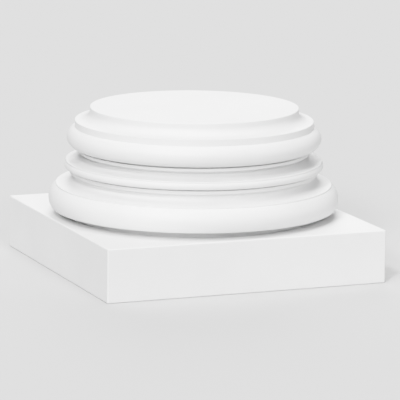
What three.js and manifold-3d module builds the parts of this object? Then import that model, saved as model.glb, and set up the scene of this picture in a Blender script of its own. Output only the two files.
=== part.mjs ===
// Classical column base, moulded in one piece: a square plinth under a round stack of mouldings.
// Millimetres, +Z up. The origin is on the column's axis, on the surface that the plinth stands on.
import * as THREE from "three";
import { mergeVertices } from "three/addons/utils/BufferGeometryUtils.js";
import Module from "manifold-3d";

// Driving dimensions. Every z is a height above the surface that the plinth stands on.
const PLINTH = { side: 350, height: 63.5, cornerRadius: 1.6, edge: 1.2 };
const SEAT = { radius: 125.6, z: 193, edge: 1 };
const CAVETTO = { topZ: 187.8, bottomZ: 177.1 };
const UPPER_FILLET = { radius: 143.4 };
const UPPER_TORUS = { centreRadius: 140.6, centreZ: 156.75, sectionRadius: 12.5 };
const UPPER_QUIRK = { radius: 136.5, bottomZ: 142.2 };
const MIDDLE_FILLET = { radius: 139.3, bottomZ: 138.5 };
const UPPER_SCOTIA = { stepIn: 7.5, drop: 3.2, lipRadius: 154.5, lipZ: 129.2 };
const ASTRAGAL = { centreRadius: 152.3, centreZ: 123.6, reach: 3.7, halfHeight: 4.4 };
const LOWER_QUIRK = { radius: 146.5, bottomZ: 117.6 };
const LOWER_FILLET = { radius: 149.2, bottomZ: 113.4 };
const LOWER_SCOTIA = { stepIn: 5.5, drop: 3.6, lipRadius: 166.1, lipZ: 101 };
const LOWER_TORUS = { centreRadius: 155.2, centreZ: 83.2, sectionRadius: 19.5, undersideZ: 72 };
const NECK = { radius: 153 };

// How finely the curves are cut into flats.
const AROUND = 72;
const STEPS = { torus: 11, smallTorus: 9, bead: 5, hollow: 6, stepIn: 3, edge: 2 };

// How far the round part reaches down into the plinth, so that the two join as one solid.
const JOIN_DEPTH = 3;

const MOULDED_WHITE = { color: 0xf2f2f0, roughness: 0.55, metalness: 0 };

// A stretch of an ellipse in the profile plane, from one angle to another; 0 points outwards, 90 up.
function ellipseArc(centreR, centreZ, reachR, reachZ, fromDegrees, toDegrees, steps) {
  const points = [];
  for (let i = 0; i <= steps; i++) {
    const angle = THREE.MathUtils.degToRad(
      THREE.MathUtils.lerp(fromDegrees, toDegrees, i / steps),
    );
    const r = centreR + reachR * Math.cos(angle);
    const z = centreZ + reachZ * Math.sin(angle);
    points.push(new THREE.Vector2(r, z));
  }
  return points;
}

// The angle, in degrees, at which a section of this reach stands at the given radius.
function angleAtRadius(centreR, reachR, radius) {
  return THREE.MathUtils.radToDeg(Math.acos((radius - centreR) / reachR));
}

// The flat top that carries the shaft, its softened rim and the short neck below it.
function seatProfile() {
  const { radius, z, edge } = SEAT;
  const rim = ellipseArc(radius - edge, z - edge, edge, edge, 90, 0, STEPS.edge);
  return [new THREE.Vector2(0, z), ...rim];
}

// A quarter-ellipse hollow: upright where it leaves the neck, level where it meets the fillet.
function cavettoProfile() {
  const reachR = UPPER_FILLET.radius - SEAT.radius;
  const reachZ = CAVETTO.topZ - CAVETTO.bottomZ;
  return ellipseArc(UPPER_FILLET.radius, CAVETTO.topZ, reachR, reachZ, 180, 270, STEPS.hollow);
}

// The narrow slot under a moulding: its roof's inner end, its floor's inner end, the fillet's top edge.
function quirkProfile(quirk, roofZ, fillet) {
  return [
    new THREE.Vector2(quirk.radius, roofZ),
    new THREE.Vector2(quirk.radius, quirk.bottomZ),
    new THREE.Vector2(fillet.radius, quirk.bottomZ),
  ];
}

// The upper torus, from the face of the fillet above it down to its lowest point, and its quirk.
function upperTorusProfile() {
  const { centreRadius, centreZ, sectionRadius } = UPPER_TORUS;
  const top = angleAtRadius(centreRadius, sectionRadius, UPPER_FILLET.radius);
  return [
    ...ellipseArc(
      centreRadius, centreZ, sectionRadius, sectionRadius, top, -90, STEPS.smallTorus,
    ),
    ...quirkProfile(UPPER_QUIRK, centreZ - sectionRadius, MIDDLE_FILLET),
  ];
}

// A scotia: a short curve in under the fillet above, then a long sweep out to the lip below.
function scotiaProfile(fillet, scotia) {
  const deepR = fillet.radius - scotia.stepIn;
  const deepZ = fillet.bottomZ - scotia.drop;
  const inwards = ellipseArc(
    fillet.radius, deepZ, scotia.stepIn, scotia.drop, 90, 180, STEPS.stepIn,
  );
  const outwards = ellipseArc(
    scotia.lipRadius, deepZ, scotia.lipRadius - deepR, deepZ - scotia.lipZ, 180, 270, STEPS.hollow,
  );
  return [...inwards, ...outwards.slice(1)];
}

// The small flattened bead, from the face of the lip above it down to its lowest point, and its quirk.
function astragalProfile() {
  const { centreRadius, centreZ, reach, halfHeight } = ASTRAGAL;
  const top = angleAtRadius(centreRadius, reach, UPPER_SCOTIA.lipRadius);
  return [
    ...ellipseArc(centreRadius, centreZ, reach, halfHeight, top, -90, STEPS.bead),
    ...quirkProfile(LOWER_QUIRK, centreZ - halfHeight, LOWER_FILLET),
  ];
}

// The lower torus, cut off flat above the plinth, and the recessed neck that carries it.
function lowerTorusProfile() {
  const { centreRadius, centreZ, sectionRadius, undersideZ } = LOWER_TORUS;
  const top = angleAtRadius(centreRadius, sectionRadius, LOWER_SCOTIA.lipRadius);
  const cut = THREE.MathUtils.radToDeg(Math.asin((centreZ - undersideZ) / sectionRadius));
  return [
    ...ellipseArc(centreRadius, centreZ, sectionRadius, sectionRadius, top, -cut, STEPS.torus),
    new THREE.Vector2(NECK.radius, undersideZ),
    new THREE.Vector2(NECK.radius, PLINTH.height - JOIN_DEPTH),
    new THREE.Vector2(0, PLINTH.height - JOIN_DEPTH),
  ];
}

// Every round moulding as one turned body, its axis along +Z.
function roundPart() {
  const profile = [
    ...seatProfile(),
    ...cavettoProfile(),
    ...upperTorusProfile(),
    ...scotiaProfile(MIDDLE_FILLET, UPPER_SCOTIA),
    ...astragalProfile(),
    ...scotiaProfile(LOWER_FILLET, LOWER_SCOTIA),
    ...lowerTorusProfile(),
  ];
  const upwards = profile.reverse();
  return new THREE.LatheGeometry(upwards, AROUND).rotateX(Math.PI / 2);
}

// The square block below, with lightly rounded corners and softened edges.
function plinthPart() {
  const { side, height, cornerRadius, edge } = PLINTH;
  const half = side / 2 - edge;
  const straight = half - cornerRadius;
  const outline = new THREE.Shape();
  outline.moveTo(straight, -half);
  outline.absarc(straight, -straight, cornerRadius, -Math.PI / 2, 0);
  outline.absarc(straight, straight, cornerRadius, 0, Math.PI / 2);
  outline.absarc(-straight, straight, cornerRadius, Math.PI / 2, Math.PI);
  outline.absarc(-straight, -straight, cornerRadius, Math.PI, (3 * Math.PI) / 2);
  const block = new THREE.ExtrudeGeometry(outline, {
    depth: height - 2 * edge,
    curveSegments: STEPS.edge,
    bevelSize: edge,
    bevelThickness: edge,
    bevelSegments: STEPS.edge,
  });
  return block.translate(0, 0, edge);
}

const wasm = await Module();
wasm.setup();

// A closed geometry as a solid that can be joined to another.
function toSolid(geometry) {
  geometry.deleteAttribute("normal");
  geometry.deleteAttribute("uv");
  const merged = mergeVertices(geometry, 1e-3);
  const mesh = new wasm.Mesh({
    numProp: 3,
    vertProperties: merged.getAttribute("position").array,
    triVerts: new Uint32Array(merged.getIndex().array),
  });
  return new wasm.Manifold(mesh);
}

// A joined solid as a geometry again.
function toGeometry(solid) {
  const { vertProperties, triVerts } = solid.getMesh();
  const geometry = new THREE.BufferGeometry();
  geometry.setAttribute("position", new THREE.BufferAttribute(vertProperties, 3));
  geometry.setIndex(new THREE.BufferAttribute(triVerts, 1));
  geometry.computeVertexNormals();
  return geometry;
}

// The whole base: the round part and the plinth joined as one moulding.
function columnBase() {
  const moulding = toSolid(plinthPart()).add(toSolid(roundPart()));
  const material = new THREE.MeshStandardMaterial(MOULDED_WHITE);
  const mesh = new THREE.Mesh(toGeometry(moulding), material);
  mesh.name = "column_base";
  return mesh;
}

const base = new THREE.Group();
base.add(columnBase());

export default base;
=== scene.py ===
"""Looks of a classical column base, one smooth white moulding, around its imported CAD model.

The round mouldings are turned from a drawn profile and joined with the square plinth as one piece.
"""

import logging
import math
from dataclasses import dataclass
from enum import Enum
from typing import Any

import bpy
from mathutils import Matrix, Vector


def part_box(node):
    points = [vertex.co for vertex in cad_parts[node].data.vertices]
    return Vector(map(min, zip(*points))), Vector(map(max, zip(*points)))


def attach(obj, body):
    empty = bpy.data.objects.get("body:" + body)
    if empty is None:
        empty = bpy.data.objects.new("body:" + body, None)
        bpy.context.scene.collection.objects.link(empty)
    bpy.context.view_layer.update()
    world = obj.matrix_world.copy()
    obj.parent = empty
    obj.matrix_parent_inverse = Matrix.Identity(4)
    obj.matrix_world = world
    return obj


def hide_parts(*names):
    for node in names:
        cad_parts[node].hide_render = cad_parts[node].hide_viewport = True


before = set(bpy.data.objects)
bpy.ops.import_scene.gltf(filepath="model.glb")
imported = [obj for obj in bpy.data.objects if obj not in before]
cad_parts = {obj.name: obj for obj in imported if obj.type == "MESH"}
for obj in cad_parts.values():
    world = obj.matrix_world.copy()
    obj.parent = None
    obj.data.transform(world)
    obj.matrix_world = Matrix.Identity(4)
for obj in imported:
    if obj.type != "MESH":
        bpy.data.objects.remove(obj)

log = logging.getLogger("column_base")

MM = 0.001
NODE = "column_base"
BODY = "root"

# Points of the meshes that lie closer than this, in metres, are the same point.
WELD = 0.01 * MM

# Numbers of the Mix node's sockets for two colours, and of the one they come out of.
MIX_FIRST, MIX_SECOND, MIX_RESULT = 6, 7, 2

Point = tuple[float, float]
Outline = list[Point]
Colour = tuple[float, float, float]


class Corner(Enum):
    """How far a corner of the profile is rounded, along each of its two sides, in millimetres."""

    RIM = 1.2
    LIP = 0.7
    CREASE = 0.3
    TIGHT = 0.4


class Quarter(Enum):
    """Which quarter turn the curve of a hollow follows, as its first and last angle in degrees."""

    IN_AND_DOWN = (90.0, 180.0)
    DOWN_AND_OUT = (180.0, 270.0)


def arc(
    centre: Point, reach: Point, start: float, end: float, step: float = 0.8, fewest: int = 4
) -> Outline:
    """Draws a stretch of an ellipse in the profile plane.

    Args:
        centre: Radius and height of its centre, in millimetres.
        reach: Its half width and half height, in millimetres.
        start: First angle in degrees; 0 points outwards and 90 upwards.
        end: Last angle in degrees.
        step: Rough distance between neighbouring points, in millimetres.
        fewest: The least number of flats.

    Returns:
        The points, from the first angle to the last.
    """
    length = max(reach) * math.radians(abs(end - start))
    steps = max(fewest, math.ceil(length / step))
    turned = (math.radians(start + (end - start) * i / steps) for i in range(steps + 1))
    return [(centre[0] + reach[0] * math.cos(a), centre[1] + reach[1] * math.sin(a)) for a in turned]


def trimmed(outline: Outline, cut: float, most: float = 0.9) -> Outline:
    """Shortens an outline at its end.

    Args:
        outline: The points.
        cut: Length to take off, in millimetres.
        most: The largest share that is taken off the stretch where the cut falls.

    Returns:
        The points that are left, ended at the place of the cut.
    """
    kept = list(outline)
    left = cut
    while len(kept) > 2 and math.dist(kept[-1], kept[-2]) <= left:
        left -= math.dist(kept[-1], kept[-2])
        kept.pop()
    share = min(most, left / math.dist(kept[-1], kept[-2]))
    (r0, z0), (r1, z1) = kept[-2:]
    kept[-1] = (r1 + (r0 - r1) * share, z1 + (z0 - z1) * share)
    return kept


def rounded(before: Outline, after: Outline, corner: Corner, steps: int = 5) -> Outline:
    """Joins two outlines that meet at a corner by a small curve.

    Args:
        before: The points that end at the corner.
        after: The points that start at the corner.
        corner: How far the corner is rounded.
        steps: Number of flats in the curve.

    Returns:
        One outline through both.
    """
    tip = before[-1]
    start = trimmed(before, corner.value)
    end = trimmed(after[::-1], corner.value)[::-1]
    curve: Outline = []
    for i in range(1, steps):
        t = i / steps
        weights = ((1 - t) ** 2, 2 * t * (1 - t), t * t)
        points = (start[-1], tip, end[0])
        curve.append(tuple(sum(w * p[k] for w, p in zip(weights, points)) for k in (0, 1)))
    return [*start, *curve, *end]


def open_edit(piece: bpy.types.Object) -> None:
    """Makes a piece the only selected one and opens its mesh with everything selected."""
    bpy.ops.object.select_all(action="DESELECT")
    bpy.context.view_layer.objects.active = piece
    piece.select_set(True)
    bpy.ops.object.mode_set(mode="EDIT")
    bpy.ops.mesh.select_all(action="SELECT")


def close_edit() -> None:
    """Leaves edit mode."""
    bpy.ops.object.mode_set(mode="OBJECT")


@dataclass(frozen=True)
class Torus:
    """A moulding that bulges outwards, from the face above it down to an angle below its widest part.

    Its reach is its half width and half height, which differ on a flattened bead.
    """

    centre: Point
    reach: Point
    top_radius: float
    bottom_angle: float

    def outline(self) -> Outline:
        """Draws the bulge from its top to its bottom."""
        top = math.degrees(math.acos((self.top_radius - self.centre[0]) / self.reach[0]))
        return arc(self.centre, self.reach, top, self.bottom_angle)


@dataclass(frozen=True)
class Quirk:
    """A narrow slot under a moulding, which parts it from the fillet below with a dark line."""

    radius: float
    bottom_z: float

    def outline(self, moulding_foot: Point, fillet_radius: float) -> list[Outline]:
        """Draws the slot's roof, back and floor.

        Args:
            moulding_foot: The lowest point of the moulding above.
            fillet_radius: Radius of the fillet below.

        Returns:
            The three straight stretches, from the moulding to the fillet's top edge.
        """
        roof_z = moulding_foot[1]
        return [
            [moulding_foot, (self.radius, roof_z)],
            [(self.radius, roof_z), (self.radius, self.bottom_z)],
            [(self.radius, self.bottom_z), (fillet_radius, self.bottom_z)],
        ]


@dataclass(frozen=True)
class Scotia:
    """A hollow between a fillet above and a lip below that stands further out."""

    top: Point
    lip: Point
    step_in: float
    drop: float

    def outline(self) -> Outline:
        """Draws the short curve in under the fillet and the long sweep out to the lip."""
        deep_r = self.top[0] - self.step_in
        deep_z = self.top[1] - self.drop
        inwards = arc((self.top[0], deep_z), (self.step_in, self.drop), *Quarter.IN_AND_DOWN.value)
        sweep = (self.lip[0] - deep_r, deep_z - self.lip[1])
        outwards = arc((self.lip[0], deep_z), sweep, *Quarter.DOWN_AND_OUT.value)
        return [*inwards, *outwards[1:]]


@dataclass
class RoundMouldings:
    """The turned stack of mouldings above the plinth. Sizes are radii and heights in millimetres.

    The recess is the narrow neck that shows as a dark line between the lower torus and the plinth.
    """

    plinth_height: float
    top_z: float
    around: int = 256
    join_depth: float = 3.0
    seat_radius: float = 125.6
    seat_neck_z: float = 187.8
    upper_fillet: Point = (143.4, 177.1)
    upper_torus: Torus = Torus((140.6, 156.75), (12.5, 12.5), top_radius=143.4, bottom_angle=-90.0)
    upper_quirk: Quirk = Quirk(radius=136.5, bottom_z=142.2)
    upper_scotia: Scotia = Scotia(top=(139.3, 138.5), lip=(154.5, 129.2), step_in=7.5, drop=3.2)
    bead: Torus = Torus((152.3, 123.6), (3.7, 4.4), top_radius=154.5, bottom_angle=-90.0)
    lower_quirk: Quirk = Quirk(radius=146.5, bottom_z=117.6)
    lower_scotia: Scotia = Scotia(top=(149.2, 113.4), lip=(166.1, 101.0), step_in=5.5, drop=3.6)
    lower_torus: Torus = Torus((155.2, 83.2), (19.5, 19.5), top_radius=166.1, bottom_angle=-35.06)
    recess_radius: float = 153.0

    def cavetto(self) -> Outline:
        """Draws the hollow between the seat's neck and the upper fillet."""
        fillet_r, fillet_z = self.upper_fillet
        reach = (fillet_r - self.seat_radius, self.seat_neck_z - fillet_z)
        return arc((fillet_r, self.seat_neck_z), reach, *Quarter.DOWN_AND_OUT.value)

    def stretches(self) -> list[tuple[Outline, Corner]]:
        """Lists the profile's smooth stretches from the top down.

        Returns:
            Each stretch with the rounding of the corner where it starts.
        """
        cavetto = self.cavetto()
        upper = self.upper_torus.outline()
        bead = self.bead.outline()
        upper_slot = self.upper_quirk.outline(upper[-1], self.upper_scotia.top[0])
        lower_slot = self.lower_quirk.outline(bead[-1], self.lower_scotia.top[0])
        lower = self.lower_torus.outline()
        underside_z = lower[-1][1]
        foot_z = self.plinth_height - self.join_depth
        return [
            ([(0.0, self.top_z), (self.seat_radius, self.top_z)], Corner.RIM),
            ([(self.seat_radius, self.top_z), *cavetto], Corner.RIM),
            ([cavetto[-1], upper[0]], Corner.LIP),
            ([*upper, *upper_slot[0][1:]], Corner.CREASE),
            (upper_slot[1], Corner.CREASE),
            (upper_slot[2], Corner.CREASE),
            ([upper_slot[2][-1], self.upper_scotia.top], Corner.TIGHT),
            (self.upper_scotia.outline(), Corner.TIGHT),
            ([self.upper_scotia.lip, bead[0]], Corner.LIP),
            ([*bead, *lower_slot[0][1:]], Corner.CREASE),
            (lower_slot[1], Corner.CREASE),
            (lower_slot[2], Corner.CREASE),
            ([lower_slot[2][-1], self.lower_scotia.top], Corner.TIGHT),
            (self.lower_scotia.outline(), Corner.TIGHT),
            ([self.lower_scotia.lip, lower[0]], Corner.LIP),
            (lower, Corner.CREASE),
            ([lower[-1], (self.recess_radius, underside_z)], Corner.LIP),
            ([(self.recess_radius, underside_z), (self.recess_radius, foot_z)], Corner.CREASE),
            ([(self.recess_radius, foot_z), (0.0, foot_z)], Corner.CREASE),
        ]

    def profile(self) -> Outline:
        """Strings the stretches together with softened corners."""
        (line, _), *rest = self.stretches()
        for stretch, corner in rest:
            line = rounded(line, stretch, corner)
        return line

    def build(self) -> bpy.types.Object:
        """Draws the profile as a chain of edges and spins it round the column's axis.

        Returns:
            The closed round body.
        """
        line = [Vector((r * MM, 0.0, z * MM)) for r, z in self.profile()]
        bpy.ops.object.select_all(action="DESELECT")
        bpy.ops.mesh.primitive_plane_add(size=MM, location=line[0])
        piece = bpy.context.active_object
        bpy.ops.object.transform_apply(location=True)
        open_edit(piece)
        bpy.ops.mesh.merge(type="CENTER")
        for here, there in zip(line, line[1:]):
            bpy.ops.mesh.extrude_region_move(TRANSFORM_OT_translate={"value": there - here})
        bpy.ops.mesh.select_all(action="SELECT")
        bpy.ops.mesh.spin(steps=self.around, angle=math.tau, center=(0, 0, 0), axis=(0, 0, 1))
        bpy.ops.mesh.select_all(action="SELECT")
        bpy.ops.mesh.remove_doubles(threshold=WELD)
        bpy.ops.mesh.normals_make_consistent(inside=False)
        close_edit()
        return piece


@dataclass
class Plinth:
    """The square block below the mouldings, in millimetres."""

    side: float
    height: float
    edge: float = 1.6
    edge_steps: int = 5
    edge_fullness: float = 0.5

    def build(self) -> bpy.types.Object:
        """Makes the block and softens its edges.

        Returns:
            The closed block, standing on the floor.
        """
        size = (self.side * MM, self.side * MM, self.height * MM)
        bpy.ops.object.select_all(action="DESELECT")
        bpy.ops.mesh.primitive_cube_add(size=1, location=(0, 0, size[2] / 2))
        piece = bpy.context.active_object
        piece.name = NODE + "_moulding"
        piece.scale = size
        bpy.ops.object.transform_apply(location=True, scale=True)
        open_edit(piece)
        bpy.ops.mesh.bevel(
            offset=self.edge * MM, segments=self.edge_steps, profile=self.edge_fullness, affect="EDGES"
        )
        close_edit()
        return piece


class Socket:
    """A value in a material's node tree that Python's arithmetic can be used on."""

    def __init__(self, graph: "Graph", link: bpy.types.NodeSocket) -> None:
        """Wraps one output socket."""
        self.graph = graph
        self.link = link

    def _math(self, operation: str, first: Any, second: Any) -> "Socket":
        """Adds one Math node."""
        return self.graph.add("ShaderNodeMath", {"operation": operation}, {0: first, 1: second})

    def __add__(self, other: Any) -> "Socket":
        """Adds."""
        return self._math("ADD", self, other)

    def __radd__(self, other: Any) -> "Socket":
        """Adds, from the right."""
        return self._math("ADD", other, self)

    def __mul__(self, other: Any) -> "Socket":
        """Multiplies."""
        return self._math("MULTIPLY", self, other)

    def __rmul__(self, other: Any) -> "Socket":
        """Multiplies, from the right."""
        return self._math("MULTIPLY", other, self)


class Graph:
    """A material's node tree, built one node at a time."""

    def __init__(self, name: str) -> None:
        """Starts an empty material."""
        self.material = bpy.data.materials.new(name)
        self.material.use_nodes = True
        self.tree = self.material.node_tree
        self.tree.nodes.clear()

    def add(self, kind: str, settings: dict[str, Any], inputs: dict[Any, Any], output: Any = 0) -> Socket:
        """Adds a node.

        Args:
            kind: The node's type.
            settings: Its properties, set before its sockets.
            inputs: Values or links of its sockets, by name or number.
            output: The output socket that is wanted.

        Returns:
            That output.
        """
        node = self.tree.nodes.new(kind)
        for name, value in settings.items():
            setattr(node, name, value)
        for name, value in inputs.items():
            if isinstance(value, Socket):
                self.tree.links.new(value.link, node.inputs[name])
            else:
                node.inputs[name].default_value = value
        return Socket(self, node.outputs[output])

    def finish(self, shader: Socket) -> bpy.types.Material:
        """Adds the output node and hands the material over."""
        node = self.tree.nodes.new("ShaderNodeOutputMaterial")
        self.tree.links.new(shader.link, node.inputs["Surface"])
        return self.material


@dataclass(frozen=True)
class MouldedWhite:
    """Rigid polyurethane, moulded and primed white: an even satin-matte skin.

    The primer is faintly cloudy over some centimetres and has a fine grain, and both are also a
    slight relief. Scales are in features for each metre, and the relief's depth is in metres.
    """

    colour: Colour = (0.76, 0.76, 0.76)
    cloudiness: float = 0.06
    cloud_scale: float = 14.0
    cloud_detail: float = 3.0
    cloud_roughness: float = 0.55
    grain_scale: float = 900.0
    grain_detail: float = 2.0
    roughness: float = 0.44
    rougher_by_cloud: float = 0.08
    rougher_by_grain: float = 0.05
    grain_height: float = 0.35
    relief_strength: float = 0.12
    relief_depth: float = 0.0004
    refraction: float = 1.47

    def material(self) -> bpy.types.Material:
        """Builds the finish.

        Returns:
            The material.
        """
        graph = Graph("moulded_white_primer")
        place = graph.add("ShaderNodeTexCoord", {}, {}, "Object")
        clouds = {
            "Vector": place,
            "Scale": self.cloud_scale,
            "Detail": self.cloud_detail,
            "Roughness": self.cloud_roughness,
        }
        grains = {"Vector": place, "Scale": self.grain_scale, "Detail": self.grain_detail}
        cloud = graph.add("ShaderNodeTexNoise", {}, clouds, "Fac")
        grain = graph.add("ShaderNodeTexNoise", {}, grains, "Fac")
        light = tuple(c * (1 + self.cloudiness) for c in self.colour)
        dark = tuple(c * (1 - self.cloudiness) for c in self.colour)
        tint = graph.add(
            "ShaderNodeMix",
            {"data_type": "RGBA"},
            {"Factor": cloud, MIX_FIRST: (*dark, 1.0), MIX_SECOND: (*light, 1.0)},
            MIX_RESULT,
        )
        rough = self.roughness + cloud * self.rougher_by_cloud + grain * self.rougher_by_grain
        relief = grain * self.grain_height + cloud
        bump = graph.add(
            "ShaderNodeBump",
            {},
            {"Height": relief, "Strength": self.relief_strength, "Distance": self.relief_depth},
        )
        shader = graph.add(
            "ShaderNodeBsdfPrincipled",
            {},
            {"Base Color": tint, "Roughness": rough, "Normal": bump, "IOR": self.refraction},
        )
        return graph.finish(shader)


@dataclass(frozen=True)
class PaleFloor:
    """The plain floor's paint."""

    colour: Colour = (0.5, 0.5, 0.5)
    roughness: float = 0.9

    def material(self) -> bpy.types.Material:
        """Builds the paint."""
        graph = Graph("pale_floor")
        paint = {"Base Color": (*self.colour, 1.0), "Roughness": self.roughness}
        shader = graph.add("ShaderNodeBsdfPrincipled", {}, paint)
        return graph.finish(shader)


@dataclass
class ColumnBase:
    """The whole base: plinth and round mouldings in one moulding. Sizes are in millimetres."""

    side: float
    height: float
    plinth_height: float = 63.5
    finish: MouldedWhite = MouldedWhite()
    smooth_angle: float = 35.0

    def build(self) -> bpy.types.Object:
        """Models the moulding, joins its two forms and dresses it.

        Returns:
            The finished piece, in place on its body.
        """
        mouldings = RoundMouldings(self.plinth_height, self.height).build()
        piece = Plinth(self.side, self.plinth_height).build()
        self.join(piece, mouldings)
        self.smooth(piece)
        piece.data.materials.clear()
        piece.data.materials.append(self.finish.material())
        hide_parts(NODE)
        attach(piece, BODY)
        return piece

    def join(self, block: bpy.types.Object, mouldings: bpy.types.Object) -> None:
        """Makes the block and the turned stack one closed body.

        Args:
            block: The plinth's block, which becomes the whole.
            mouldings: The turned stack, which is used up.
        """
        bpy.context.view_layer.objects.active = block
        joint = block.modifiers.new("join", "BOOLEAN")
        joint.operation = "UNION"
        joint.solver = "EXACT"
        joint.object = mouldings
        bpy.ops.object.modifier_apply(modifier=joint.name)
        bpy.data.objects.remove(mouldings)

    def smooth(self, piece: bpy.types.Object) -> None:
        """Shades the curves smooth, so that the flat faces still look flat."""
        bpy.ops.object.select_all(action="DESELECT")
        piece.select_set(True)
        bpy.ops.object.shade_smooth_by_angle(angle=math.radians(self.smooth_angle))
        weighted = piece.modifiers.new("flat_faces_stay_flat", "WEIGHTED_NORMAL")
        weighted.keep_sharp = True
        bpy.ops.object.modifier_apply(modifier=weighted.name)


@dataclass(frozen=True)
class Lamp:
    """One far lamp: its place in degrees, its strength, and how wide it looks from the base, in degrees.

    Its first angle is measured round from the camera, towards the right of the picture.
    """

    name: str
    from_camera: float
    elevation: float
    strength: float
    width: float


def direction(azimuth: float, elevation: float) -> Vector:
    """Gives the direction from the base to a place round it.

    Args:
        azimuth: Degrees round from the front, -Y, towards +X.
        elevation: Degrees above the floor.

    Returns:
        A vector of length one.
    """
    a, e = math.radians(azimuth), math.radians(elevation)
    return Vector((math.sin(a) * math.cos(e), -math.cos(a) * math.cos(e), math.sin(e)))


@dataclass
class Studio:
    """Floor, lamps and the camera at the photograph's angle. Places are in metres, angles in degrees."""

    camera_azimuth: float = -22.057
    camera_elevation: float = 10.819
    camera_roll: float = 0.652
    camera_distance: float = 3.9597
    focal_length: float = 295.34
    sensor_width: float = 36.0
    nearest: float = 0.1
    farthest: float = 100.0
    aim_right: float = 0.00799
    aim_height: float = 0.07878
    floor_radius: float = 9.0
    floor_corners: int = 64
    room_light: float = 0.0
    view: str = "AgX"
    look: str = "AgX - Very High Contrast"
    gamma: float = 0.7
    lamps: tuple[Lamp, ...] = (
        Lamp("ceiling", 0.0, 89.0, 3.05, 40.0),
        Lamp("key_high", -20.0, 46.0, 1.75, 8.0),
        Lamp("key_low", -20.0, 28.0, 1.75, 8.0),
        Lamp("side_left", -40.0, 50.0, 1.1, 8.0),
        Lamp("front", -10.0, 20.0, 0.85, 8.0),
        Lamp("fill_right", 20.0, 28.0, 1.2, 8.0),
        Lamp("side_right", 100.0, 15.0, 0.9, 30.0),
        Lamp("back", 180.0, 30.0, 1.55, 30.0),
    )

    def build_floor(self) -> None:
        """Lays the plain floor."""
        bpy.ops.object.select_all(action="DESELECT")
        bpy.ops.mesh.primitive_circle_add(
            vertices=self.floor_corners, radius=self.floor_radius, fill_type="NGON"
        )
        floor = bpy.context.active_object
        floor.name = "floor"
        floor.data.materials.append(PaleFloor().material())

    def build_lamps(self) -> None:
        """Sets the lamps, and how much light the room itself gives."""
        for lamp in self.lamps:
            data = bpy.data.lights.new(lamp.name, "SUN")
            data.energy = lamp.strength
            data.angle = math.radians(lamp.width)
            holder = bpy.data.objects.new(lamp.name, data)
            bpy.context.scene.collection.objects.link(holder)
            back = direction(self.camera_azimuth + lamp.from_camera, lamp.elevation)
            holder.rotation_euler = back.to_track_quat("Z", "Y").to_euler()
        world = bpy.data.worlds.new("room")
        world.use_nodes = True
        world.node_tree.nodes["Background"].inputs["Strength"].default_value = self.room_light
        bpy.context.scene.world = world

    def build_camera(self) -> None:
        """Sets the camera where the photograph was taken from."""
        back = direction(self.camera_azimuth, self.camera_elevation)
        a = math.radians(self.camera_azimuth)
        right = Vector((math.cos(a), math.sin(a), 0))
        target = right * self.aim_right + Vector((0, 0, self.aim_height))
        roll = Matrix.Rotation(math.radians(self.camera_roll), 3, back)
        side = roll @ right
        up = back.cross(side)
        data = bpy.data.cameras.new("camera")
        data.sensor_width = self.sensor_width
        data.lens = self.focal_length
        data.clip_start = self.nearest
        data.clip_end = self.farthest
        camera = bpy.data.objects.new("camera", data)
        turn = Matrix((side, up, back)).transposed().to_4x4()
        camera.matrix_world = Matrix.Translation(target + back * self.camera_distance) @ turn
        bpy.context.scene.collection.objects.link(camera)
        bpy.context.scene.camera = camera

    def set_display(self) -> None:
        """Chooses the curve that turns light into the picture's greys."""
        display = bpy.context.scene.view_settings
        display.view_transform = self.view
        display.look = self.look
        display.gamma = self.gamma

    def build(self) -> None:
        """Sets the whole studio."""
        self.build_floor()
        self.build_lamps()
        self.build_camera()
        self.set_display()


def main() -> None:
    """Builds the base and its studio."""
    logging.basicConfig(level=logging.INFO, format="%(name)s: %(message)s")
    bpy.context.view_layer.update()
    low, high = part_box(NODE)
    base = ColumnBase(side=(high.x - low.x) / MM, height=(high.z - low.z) / MM)
    piece = base.build()
    log.info("%s: %d vertices, %d faces", piece.name, len(piece.data.vertices), len(piece.data.polygons))
    Studio().build()


if __name__ == "__main__":
    main()
